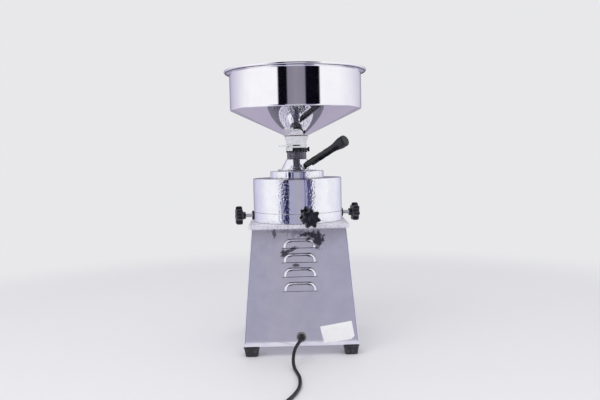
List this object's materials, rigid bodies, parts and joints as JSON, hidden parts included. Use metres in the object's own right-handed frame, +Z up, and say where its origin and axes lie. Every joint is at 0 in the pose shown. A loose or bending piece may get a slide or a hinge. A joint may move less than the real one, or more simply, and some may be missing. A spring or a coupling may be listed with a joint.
{
  "type": "tabletop flour mill",
  "caption": "Tabletop stone flour mill: tapered motor housing, clamped grinding chamber with front spout, screw-down adjuster with lever, spun feed hopper, and cord.",
  "frame": {"origin": "centre of the plan of the machine, without its free cord, at the surface that it stands on", "axes": "+Z up along the shaft, +Y towards the meal spout and the switch, -Y towards the louvres and the cord, +X to the right of someone who looks at the louvres"},
  "size_m": [0.303, 0.6905, 0.5799],
  "materials": {
    "polished_stainless": "polished sheet",
    "mirror_polished_steel": "mirror polished",
    "cast_aluminium": "satin cast",
    "bright_steel": "turned",
    "core_iron": "bare laminated",
    "black_rubber": "matte",
    "black_bakelite": "glossy moulded",
    "white_plastic": "satin moulded",
    "grinding_stone": "rough bonded abrasive",
    "grey_plastic": "matte moulded"
  },
  "bodies": {
    "base": {"housing": "polished_stainless", "bottom_plate": "polished_stainless", "foot_1": "black_rubber", "foot_2": "black_rubber", "foot_3": "black_rubber", "foot_4": "black_rubber", "top_plate": "cast_aluminium", "lower_bowl": "mirror_polished_steel", "shaft_seal": "black_rubber", "switch_frame": "black_bakelite", "cord_gland": "black_rubber", "cord_lead": "black_rubber", "cord_coil": "black_rubber", "cord_tail": "black_rubber", "plug": "black_rubber", "stator": "core_iron", "upper_end_shield": "cast_aluminium", "lower_end_shield": "cast_aluminium", "upper_bearing": "bright_steel", "lower_bearing": "bright_steel", "motor_bolt_1": "bright_steel", "motor_bolt_2": "bright_steel", "motor_bolt_3": "bright_steel", "motor_bolt_4": "bright_steel", "run_capacitor": "black_bakelite"},
    "rotor": {"motor_shaft": "bright_steel", "rotor_core": "core_iron", "cooling_fan": "grey_plastic", "stone_carrier": "cast_aluminium", "lower_stone": "grinding_stone", "stone_nut": "bright_steel"},
    "cover": {"upper_cover": "mirror_polished_steel"},
    "washer": {"thrust_washer": "bright_steel"},
    "adjuster_head": {"adjuster": "mirror_polished_steel", "stone_holder": "cast_aluminium", "upper_stone": "grinding_stone", "stone_screw_1": "bright_steel", "stone_screw_2": "bright_steel", "stone_screw_3": "bright_steel", "lever_rod": "bright_steel", "lever_grip": "black_bakelite", "hopper_neck": "white_plastic", "lock_collar": "black_bakelite", "thumb_screw": "black_bakelite"},
    "feed_hopper": {"hopper": "mirror_polished_steel"},
    "gate": {"feed_gate": "white_plastic"},
    "clamp_1": {"clamp_screw_1": "bright_steel"},
    "clamp_2": {"clamp_screw_2": "bright_steel"},
    "clamp_3": {"clamp_screw_3": "bright_steel"},
    "knob_1": {"star_knob_1": "black_bakelite"},
    "knob_2": {"star_knob_2": "black_bakelite"},
    "knob_3": {"star_knob_3": "black_bakelite"},
    "switch_rocker": {"rocker": "black_bakelite"}
  },
  "joints": [
    {"name": "rotor_spin", "type": "hinge", "parent": "base", "child": "rotor", "pos_m": [0, -0.0125, 0.27], "axis": [0, 0, 1], "continuous": true},
    {"name": "cover_lift", "type": "slide", "parent": "base", "child": "cover", "axis": [0, 0, 1], "range_m": [0, 0.12]},
    {"name": "screw_feed", "type": "slide", "parent": "cover", "child": "washer", "axis": [0, 0, 1], "range_m": [0, 0.001]},
    {"name": "lever_turn", "type": "hinge", "parent": "washer", "child": "adjuster_head", "pos_m": [0, -0.0125, 0.38], "axis": [0, 0, 1], "range_deg": [0, 180]},
    {"name": "hopper_lift", "type": "slide", "parent": "adjuster_head", "child": "feed_hopper", "axis": [0, 0, 1], "range_m": [0, 0.1]},
    {"name": "gate_slide", "type": "slide", "parent": "adjuster_head", "child": "gate", "axis": [1, 0, 0], "range_m": [0, 0.0166]},
    {"name": "clamp_feed_1", "type": "slide", "parent": "base", "child": "clamp_1", "axis": [0.1822, -0.9833, 0], "range_m": [0, 0.005]},
    {"name": "knob_turn_1", "type": "hinge", "parent": "clamp_1", "child": "knob_1", "pos_m": [0.02369, -0.14032, 0.2766], "axis": [0.1822, -0.9833, 0], "range_deg": [0, 1440]},
    {"name": "clamp_feed_2", "type": "slide", "parent": "base", "child": "clamp_2", "axis": [0.9848, 0.1736, 0], "range_m": [0, 0.005]},
    {"name": "knob_turn_2", "type": "hinge", "parent": "clamp_2", "child": "knob_2", "pos_m": [0.12802, 0.01007, 0.2766], "axis": [0.9848, 0.1736, 0], "range_deg": [0, 1440]},
    {"name": "clamp_feed_3", "type": "slide", "parent": "base", "child": "clamp_3", "axis": [-0.9848, -0.1736, 0], "range_m": [0, 0.005]},
    {"name": "knob_turn_3", "type": "hinge", "parent": "clamp_3", "child": "knob_3", "pos_m": [-0.12802, -0.03507, 0.2766], "axis": [-0.9848, -0.1736, 0], "range_deg": [0, 1440]},
    {"name": "rocker_swing", "type": "hinge", "parent": "base", "child": "switch_rocker", "pos_m": [0, 0.09459, 0.07173], "axis": [-1, 0, 0], "range_deg": [0, 18]}
  ],
  "couplings": [
    {"joint": "lever_turn", "follows": "screw_feed", "rad_per_m": 3141.6},
    {"joint": "knob_turn_1", "follows": "clamp_feed_1", "rad_per_m": 5026.5},
    {"joint": "knob_turn_2", "follows": "clamp_feed_2", "rad_per_m": 5026.5},
    {"joint": "knob_turn_3", "follows": "clamp_feed_3", "rad_per_m": 5026.5}
  ]
}
